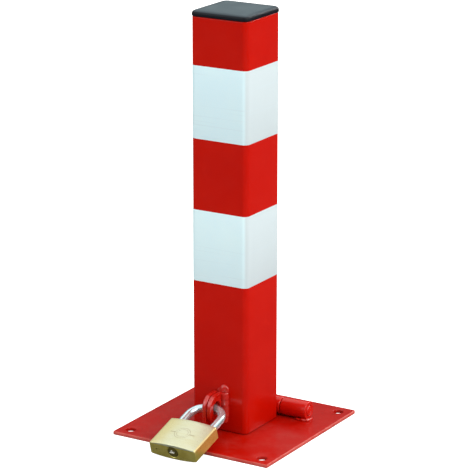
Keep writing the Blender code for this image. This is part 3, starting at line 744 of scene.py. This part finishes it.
def beaded_sheet():
    """Clear-faced beaded sheet: cloudy blue-white, a close grain of beads, and faint streaks from the roll.
    The right side is painted a darker grey as shade."""
    finish = Finish("reflective_sheet", Specular_IOR_Level=0.35, Coat_Roughness=0.12)
    at = finish.place()
    grain = finish.cells(at, 1500.0)
    cloud = finish.noise(at, 22.0, 4.0)
    streak = finish.noise(finish.place(scale=(6, 6, 420)), 1.0, 2.0)
    colour = finish.blend(cloud.ramp(0.3, 0.7), (0.68, 0.92, 1.0, 1), (0.72, 0.95, 1.0, 1))
    colour = finish.blend(grain.ramp(0.1, 0.75, 0.0, 0.22), colour, BEAD_WHITE)
    # Painted shade: the sheet's right face is blended to a darker grey.
    painted_shade_on_right = finish.axes(at)[0].ramp(POST_HALF - 0.004, POST_HALF - 0.001)
    colour = finish.blend(painted_shade_on_right, colour, RIGHT_FACE_SHADE_GREY)
    colour = finish.blend(streak.ramp(0.58, 0.72, 0.0, 0.20), colour, ROLL_STREAK)
    finish.feed("Base Color", colour)
    finish.feed("Roughness", grain.ramp(0.1, 0.8, 0.34, 0.50))
    finish.feed("Coat Weight", cloud.ramp(0.2, 0.8, 0.15, 0.25))
    finish.relief(grain + streak * 0.6, 0.00003)
    return finish.material


reflective_sheet = beaded_sheet()
band("lower_band", "reflective_band_lower")
band("upper_band", "reflective_band_upper")


# ---------------------------------------------------------------- end cap
# Moulded polyethylene cap. Its top rolls over into the sides with a soft radius, and the skirt under it is
# driven into the tube. The mould left a fine spark-eroded grain, and the top is painted grey as the sky's
# reflection.

CAP_LOW, CAP_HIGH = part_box("end_cap")
CAP_HALF = CAP_HIGH.x - 0.0003
CAP_TOP = CAP_HIGH.z - 0.0011
CAP_CORNER = POST_CORNER + 0.001
CAP_FOOT = POST_TOP + 0.0002
CAP_ROLL = 0.0036
CAP_FLAT_SINK = 0.00025
SKIRT_HALF = POST_BORE - 0.0002
SKIRT_WALL = 0.002
CAP_SIDE_BLACK = (0.005, 0.006, 0.011, 1)
CAP_BORDER_SHADE = (0.020, 0.032, 0.045, 1)


def cap_levels():
    """Rings from the middle of the cap's inside, down the skirt, up its outside, out under the slab and over
    its rolled edge to the middle of the top, which sinks by sink x (1 - share of the half width squared)."""
    under = CAP_FOOT + 0.0008
    skirt_inner = SKIRT_HALF - SKIRT_WALL
    levels = [(0.002, 0.0015, under), (skirt_inner, 0.003, under), (skirt_inner, 0.003, CAP_LOW.z),
              (SKIRT_HALF - 0.0008, 0.004, CAP_LOW.z), (SKIRT_HALF, 0.0045, CAP_LOW.z + 0.002),
              (SKIRT_HALF, 0.0045, CAP_FOOT), (CAP_HALF - 0.0006, CAP_CORNER - 0.0006, CAP_FOOT),
              (CAP_HALF, CAP_CORNER, CAP_FOOT + 0.0005)]
    levels += [(CAP_HALF - inset, CAP_CORNER - inset * 0.6, CAP_TOP - drop)
               for inset, drop in rounding(CAP_ROLL, 12)]
    flat_half, flat_corner = levels[-1][:2]
    levels += [(flat_half * share, flat_corner * share, CAP_TOP - CAP_FLAT_SINK * (1 - share ** 2))
               for share in (0.93, 0.8, 0.6, 0.35, 0.1)]
    return levels


def grained_plastic():
    """Charcoal plastic: fine eroded grain and nearly black round the sides. The open top is painted grey as a
    reflection of the sky, with painted shade darkening it towards the top's border."""
    finish = Finish("charcoal_plastic", Specular_IOR_Level=0.22)
    at = finish.place()
    grain = finish.noise(at, 1100.0, 3.0, 0.7)
    cloud = finish.noise(at, 45.0, 4.0, 0.6)
    across, along, height = finish.axes(at)
    on_top = height.ramp(CAP_TOP - 0.0018, CAP_TOP - 0.0003)
    # Painted reflection: the open top is a lighter grey than the black sides.
    painted_top_reflection = finish.blend(cloud.ramp(0.35, 0.7), (0.086, 0.122, 0.142, 1), (0.106, 0.146, 0.164, 1))
    # Painted shade: the top darkens towards its rolled border.
    border = across.absolute().most(along.absolute()).ramp(0.0270, 0.0340, 0.0, 0.55)
    painted_top_reflection = finish.blend(border, painted_top_reflection, CAP_BORDER_SHADE)
    finish.feed("Base Color", finish.blend(on_top, CAP_SIDE_BLACK, painted_top_reflection))
    finish.feed("Roughness", cloud.ramp(0.3, 0.75, 0.42, 0.55))
    finish.relief(grain, 0.00006)
    return finish.material


cap = dress(stacked("post_cap", cap_levels()), grained_plastic(), 50)
settle(cap, "post", "end_cap")


# ---------------------------------------------------------------- padlock shackle
# Hardened steel bar bent to a U and bright plated. It goes through both lugs. The short toe and the long
# heel each have a notch for a latch bolt, and the heel has a turned neck that keeps it in the case.

PADLOCK_SLOPE = math.radians(16.8)
CROWN = np.array([0.0, LUG_HOLE[0], LUG_HOLE[1] - 0.0008])
LOCK_UP = np.array([0.0, math.cos(PADLOCK_SLOPE), math.sin(PADLOCK_SLOPE)])
LOCK_OUT = np.array([0.0, -math.sin(PADLOCK_SLOPE), math.cos(PADLOCK_SLOPE)])
LOCK_TURN = np.stack([np.array([1.0, 0, 0]), LOCK_UP, LOCK_OUT])
LOCK_LEVEL = (-PADLOCK_SLOPE, 0, 0)
METAL_SHARE = 0.78
LEG_OFFSET = 0.020
BAR_RADIUS = 0.0045
TOE_END = -0.0513
HEEL_END = -0.0745
NOTCH_LEVELS = (-0.0521, -0.0450, -0.0431, -0.0412)
NOTCH_DEPTHS = (0.0150, 0.0173, 0.0173, 0.0150)
NECK_LEVELS = (-0.0722, -0.0718, -0.0558, -0.0554)
NECK_RADIUS = 0.0032
END_ROUND = 0.0012
LEGS_START = -0.0240


def from_lock(points):
    """Points given in the padlock's own frame (across, towards the crown, out of the upper face)."""
    return CROWN + np.asarray(points) @ LOCK_TURN


def shackle_rings():
    """A circle carried up the heel, round the bend and down the toe. The heel's neck narrows the circle, and
    each notch pushes the leg's inner side out to its floor, |x| = max(|x|, floor(y)). Within the round of an
    end the radius falls by round x (1 - distance from the tip / round)^2."""
    bend = np.linspace(math.pi, 0, 64)
    heel_tip = np.array((0, 0.0002, 0.0006, 0.0012))
    heel_y = np.concatenate([HEEL_END + heel_tip, np.linspace(HEEL_END + 0.0016, LEGS_START, 130)])
    toe_tip = np.array((0.0009, 0.0005, 0.0002, 0))
    toe_y = np.concatenate([np.linspace(LEGS_START, TOE_END + 0.0012, 80), TOE_END + toe_tip])
    side_x = np.concatenate([np.full(len(heel_y), -1.0), np.cos(bend), np.full(len(toe_y), 1.0)])
    side_y = np.concatenate([np.zeros(len(heel_y)), np.sin(bend), np.zeros(len(toe_y))])
    x = LEG_OFFSET * side_x
    y = np.concatenate([heel_y, LEG_OFFSET * np.sin(bend) - LEG_OFFSET, toe_y])
    heel = np.arange(len(x)) < len(heel_y)
    straight = heel | (np.arange(len(x)) >= len(heel_y) + len(bend))
    neck = np.interp(y, NECK_LEVELS, (BAR_RADIUS, NECK_RADIUS, NECK_RADIUS, BAR_RADIUS))
    radius = np.where(heel, neck, BAR_RADIUS)
    from_tip = np.where(heel, y - HEEL_END, y - TOE_END)
    rounded_off = END_ROUND * (1 - np.clip(from_tip / END_ROUND, 0, 1)) ** 2
    radius = np.where(straight, radius - rounded_off, radius)
    turn = all_round(40)
    out = radius[:, None] * np.cos(turn)
    xs = x[:, None] + out * side_x[:, None]
    ys = y[:, None] + out * side_y[:, None]
    zs = radius[:, None] * np.sin(turn)
    floor_x = np.interp(y, NOTCH_LEVELS, NOTCH_DEPTHS, left=0.0, right=0.0)[:, None]
    notched = np.sign(x)[:, None] * np.maximum(np.abs(xs), floor_x)
    xs = np.where(straight[:, None], notched, xs)
    return from_lock(np.stack([xs, ys, zs], -1))


def plated_steel():
    """Bright plating over drawn bar: cool white in clouds, and fine scuffs that cross the bar at a slant."""
    finish = Finish("bright_plating", Metallic=METAL_SHARE)
    at = finish.place(CROWN, LOCK_LEVEL)
    cloud = finish.noise(at, 120.0, 3.0)
    scuff = finish.noise(finish.place(CROWN, (-PADLOCK_SLOPE, 0, 0.4), (1500, 60, 1500)), 1.0, 3.0)
    colour = finish.blend(cloud.ramp(0.3, 0.7), (0.66, 0.88, 0.97, 1), (0.78, 0.96, 1.0, 1))
    finish.feed("Base Color", colour)
    finish.feed("Roughness", cloud.ramp(0.3, 0.8, 0.16, 0.26) + scuff.ramp(0.6, 0.75, 0.0, 0.12))
    finish.relief(scuff + cloud, 0.00002)
    return finish.material


shackle = dress(ring_skin("shackle_bar", shackle_rings()), plated_steel(), 35)
settle(shackle, "shackle", "shackle")


# ---------------------------------------------------------------- padlock case
# Solid extruded brass, sawn to length and brushed. Its two faces bulge across the width and its ends are
# flat, bored for the shackle above and for the lock cylinder below, with a drain hole under the heel.

CASE_HALF = 0.02875
CASE_SIDE = 0.0070
CASE_BULGE = 0.0023
CASE_TOP = -0.0385
CASE_BOTTOM = -0.0855
CASE_ROUND = 0.0006
CASE_EDGE = 0.0007
CASE_BORE = 0.0066
CASE_BORE_RIM = 0.0004
CASE_BORE_END = CASE_BOTTOM + 0.031
LEG_BORE = 0.0049
DRAIN_RADIUS = 0.0010
MARK_RINGS = (0.0088, 0.0064)
MARK_BAR_PLACE = 0.0120
EDGE_HIGHLIGHT_GOLD = (1.0, 0.88, 0.40, 1)
MARK_BROWN = (0.36, 0.30, 0.14, 1)
KEYWAY_GLINT_WHITE = (1.0, 1.0, 0.90, 1)


def case_section(inset=0.0, count=40):
    """Section across the case in (x, z): z = side + bulge x (1 - (x / half)^2) above and its opposite below,
    with small rounds at the four corners, all drawn in by the inset."""
    half = CASE_HALF - inset
    side = CASE_SIDE - inset
    x = np.linspace(half, -half, count)
    z = side + CASE_BULGE * (1 - (x / half) ** 2)
    face = np.column_stack([np.clip(x, -half + CASE_EDGE, half - CASE_EDGE), z])
    right = np.array([(half - inward, side - drop) for inward, drop in rounding(CASE_EDGE, 5)[1:-1]])
    upper = np.concatenate([right, face, right[::-1] * (-1, 1)])
    flank = np.linspace(side - CASE_EDGE, -side + CASE_EDGE, 9)
    left = np.column_stack([np.full(len(flank), -half), flank])
    return np.concatenate([upper, left, -upper, -left])


def case_rings():
    """Rings from the middle of the upper end, over its edge, down the case, over the lower edge and in to
    the cylinder's bore, which goes up a short way and is closed."""
    outline = case_section()
    ray = rays(np.arctan2(outline[:, 1], outline[:, 0]))
    edge = rounding(CASE_ROUND, 4)
    rings = [(ray * 0.004, CASE_TOP), (outline * 0.6, CASE_TOP)]
    rings += [(case_section(inset), CASE_TOP - drop) for drop, inset in edge]
    rings += [(outline, level) for level in np.linspace(CASE_TOP - 0.004, CASE_BOTTOM + 0.004, 8)]
    rings += [(case_section(inset), CASE_BOTTOM + rise) for inset, rise in edge]
    rings += [(ray * (CASE_BORE + 0.0016), CASE_BOTTOM), (ray * (CASE_BORE + CASE_BORE_RIM), CASE_BOTTOM),
              (ray * CASE_BORE, CASE_BOTTOM + CASE_BORE_RIM), (ray * CASE_BORE, CASE_BORE_END),
              (ray * 0.0005, CASE_BORE_END)]
    return from_lock(at_levels(rings, 1))


def cut_away(piece, tool):
    """Take the tool's solid out of the piece, and the tool out of the scene."""
    cut = piece.modifiers.new("cut", "BOOLEAN")
    cut.operation = "DIFFERENCE"
    cut.solver = "EXACT"
    cut.object = tool
    view = bpy.context.evaluated_depsgraph_get()
    mesh = bpy.data.meshes.new_from_object(piece.evaluated_get(view))
    piece.modifiers.clear()
    piece.data = mesh
    bpy.data.objects.remove(tool, do_unlink=True)


def bore(piece, radius, start, end, sides=40):
    """Drill a hole between two points of the padlock's frame."""
    start, end = from_lock(start), from_lock(end)
    length = float(np.linalg.norm(end - start))
    cut_away(piece, turned("drill", [(radius, 0), (radius, length)], start, end - start, sides, joined=False))


def brushed_brass(name, gold=1.0, keyway_glint=False):
    """Brushed brass: close brush lines across the width. One brass is painted lit and shaded: pale on the
    upper face, with a painted reflection of warmer gold on its left side and a painted highlight of bright
    gold at its right edge, and a deep gold, darkened by the gold factor, on the sides and ends. The upper
    face has a faint stamped mark of two rings and a bar at each side. A piece with a keyway glint has a
    painted glint, white and not metallic, beside the keyway."""
    finish = Finish(name, Metallic=METAL_SHARE)
    at = finish.place(CROWN, LOCK_LEVEL)
    brush = finish.noise(finish.place(CROWN, LOCK_LEVEL, (40, 3200, 3200)), 1.0, 4.0, 0.7)
    broad = finish.noise(finish.place(CROWN, LOCK_LEVEL, (12, 420, 420)), 1.0, 3.0)
    cloud = finish.noise(at, 60.0, 4.0)
    across, along, out = finish.axes(at)
    up_face = out.ramp(0.0062, 0.0068)
    centre_y = (CASE_TOP + CASE_BOTTOM) / 2
    centre = (0.0, centre_y, CASE_SIDE + CASE_BULGE)
    reach = finish.node("ShaderNodeVectorMath", {"operation": "DISTANCE"}, {0: at, 1: centre}, 1)
    ring = (reach - MARK_RINGS[0]).absolute().ramp(0.00022, 0.0004, 1.0, 0.0)
    inner_ring = (reach - MARK_RINGS[1]).absolute().ramp(0.00016, 0.0003, 1.0, 0.0)
    bar = ((along - centre_y).absolute().ramp(0.0007, 0.0009, 1.0, 0.0)
           * (across.absolute() - MARK_BAR_PLACE).absolute().ramp(0.0030, 0.0033, 1.0, 0.0))
    mark = ring.most(inner_ring).most(bar) * up_face * cloud.ramp(0.25, 0.6, 0.35, 1.0)
    tarnish = cloud.ramp(0.3, 0.7)
    shade = np.array((gold, gold, gold, 1))
    deep = finish.blend(tarnish, shade * (0.67, 0.56, 0.11, 1), shade * (0.80, 0.69, 0.19, 1))
    pale = finish.blend(tarnish, (0.72, 0.74, 0.49, 1), (0.76, 0.79, 0.58, 1))
    pale = finish.blend(broad.ramp(0.45, 0.75, 0.0, 0.4), pale, (0.70, 0.68, 0.38, 1))
    # Painted reflection: the left side of the upper face is blended to a warmer gold.
    pale = finish.blend(across.ramp(-0.026, -0.006, 0.55, 0.0), pale, (0.80, 0.68, 0.24, 1))
    # Painted light: the upper face takes the pale brass, and the sides, ends and edge rounds the deep gold.
    tone = finish.blend(up_face, deep, pale)
    # Painted highlight: a line of bright gold along the upper face's right edge.
    painted_edge_highlight = across.ramp(0.0268, 0.0277) * out.ramp(0.0052, 0.0062)
    tone = finish.blend(painted_edge_highlight, tone, EDGE_HIGHLIGHT_GOLD)
    # Painted glint: a white, non-metallic patch beside the keyway.
    if keyway_glint:
        flare = (0.0026 - out) * 0.80 - (across + 0.0014).absolute()
        painted_glint = flare.ramp(0.0, 0.0003) * out.ramp(-0.0018, -0.0014)
        tone = finish.blend(painted_glint, tone, KEYWAY_GLINT_WHITE)
        finish.feed("Metallic", painted_glint.ramp(0.0, 1.0, METAL_SHARE, 0.0))
    tone = finish.blend(mark * 0.45, tone, MARK_BROWN)
    finish.feed("Base Color", tone)
    finish.feed("Roughness", brush.ramp(0.3, 0.7, 0.26, 0.44))
    finish.relief(brush * 0.5 + broad * 0.3 - mark * 4.0, 0.00003)
    return finish.material


case = ring_skin("padlock_case", case_rings())
for leg in (-LEG_OFFSET, LEG_OFFSET):
    bore(case, LEG_BORE, (leg, CASE_TOP + 0.002, 0), (leg, CASE_TOP - 0.014, 0))
bore(case, DRAIN_RADIUS, (-LEG_OFFSET, CASE_BOTTOM - 0.002, 0), (-LEG_OFFSET, CASE_BOTTOM + 0.005, 0), 24)
settle(dress(case, brushed_brass("brushed_brass"), 30), "lock_case", "lock_body")


# ---------------------------------------------------------------- lock cylinder
# Turned brass plug with a broached keyway, its face set a little into the case. Its front edge is broken,
# and a painted glint lies white beside the keyway.

PLUG_RADIUS = 0.0063
PLUG_FACE = CASE_BOTTOM + 0.0004
PLUG_LENGTH = 0.0272
KEYWAY_START = PLUG_FACE - 0.001
KEYWAY_END = PLUG_FACE + 0.020
KEYWAY = ((-0.0046, -0.0007), (-0.0028, -0.0011), (-0.0010, -0.0004), (0.0012, -0.0012), (0.0034, -0.0012),
          (0.0034, 0.0004), (0.0014, 0.0010), (-0.0008, 0.0012), (-0.0026, 0.0004), (-0.0046, 0.0009))


def key_plug_piece():
    """A turned plug with a rounded front edge, and the keyway cut into its face."""
    profile = [(0.0005, 0), (PLUG_RADIUS - 0.0007, 0), (PLUG_RADIUS - 0.0002, 0.0002), (PLUG_RADIUS, 0.0007),
               (PLUG_RADIUS, PLUG_LENGTH), (0.0005, PLUG_LENGTH)]
    plug = turned("cylinder_plug", profile, from_lock((0, PLUG_FACE, 0)), LOCK_UP, 56, joined=False)
    slot = at_levels([(np.array(KEYWAY), level) for level in (KEYWAY_START, KEYWAY_END)], 1)
    cut_away(plug, ring_skin("broach", from_lock(slot)))
    return plug


settle(dress(key_plug_piece(), brushed_brass("brass_plug", 0.30, True), 30), "lock_cylinder", "key_plug")


# ---------------------------------------------------------------- spring between the latch bolts
# A short coil of round wire that pushes the two bolts apart into the shackle's notches. It sits between them
# in the case, built as an even helix at one length.

def plain_metal(name, dark, light, rough, scale):
    """Turned or drawn metal: cloudy tone and close tool marks."""
    finish = Finish(name, Metallic=1.0)
    at = finish.place()
    cloud = finish.noise(at, scale, 3.0)
    marks = finish.noise(at, scale * 12, 2.0)
    finish.feed("Base Color", finish.blend(cloud.ramp(0.3, 0.7), dark, light))
    finish.feed("Roughness", marks.ramp(0.3, 0.7, rough, rough + 0.15))
    finish.relief(marks, 0.00002)
    return finish.material


inner_finishes = {
    "brass": plain_metal("tumbler_brass", (0.62, 0.50, 0.22, 1), (0.74, 0.62, 0.32, 1), 0.25, 240),
    "plain_steel": plain_metal("turned_steel", (0.36, 0.36, 0.38, 1), (0.50, 0.50, 0.52, 1), 0.28, 200),
    "spring_steel": plain_metal("spring_wire", (0.42, 0.42, 0.44, 1), (0.58, 0.58, 0.60, 1), 0.22, 300),
}

BOLT_SPRING_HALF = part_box("bolt_spring")[1].x
BOLT_SPRING_LEVEL = -0.0440
BOLT_SPRING_RADIUS = 0.0011
BOLT_SPRING_WIRE = 0.00025
BOLT_SPRING_TURNS = 7


def bolt_spring_piece():
    """Wire carried along a helix: at the angle a the wire's middle is at x = half (2 a / (2 pi turns) - 1)
    and at the coil's radius from the coil's axis, in the direction (cos a, sin a)."""
    angle = np.linspace(0, FULL_TURN * BOLT_SPRING_TURNS, 24 * BOLT_SPRING_TURNS + 1)
    around = all_round(8)
    half = BOLT_SPRING_HALF - BOLT_SPRING_WIRE
    reach = BOLT_SPRING_RADIUS + BOLT_SPRING_WIRE * np.cos(around)
    x = half * (2 * angle / angle[-1] - 1)[:, None] + BOLT_SPRING_WIRE * np.sin(around)
    y = BOLT_SPRING_LEVEL + reach * np.cos(angle)[:, None]
    z = reach * np.sin(angle)[:, None]
    return ring_skin("latch_spring", from_lock(np.stack([x, y, z], -1)))


latch_spring = dress(bolt_spring_piece(), inner_finishes["spring_steel"])
settle(latch_spring, "lock_case", "bolt_spring")
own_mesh(latch_spring)


# ---------------------------------------------------------------- tumblers, latch bolts and pins
# Turned brass and steel parts inside the case: the five tumbler stacks with their springs, the two bolts,
# the cam, the two pins and the spring under the heel. They keep the frame's shapes and get their own metals.

for name, node in frame["nodes"].items():
    if name not in replaced_nodes:
        node.data.materials.clear()
        node.data.materials.append(inner_finishes[SLOTS[name]])
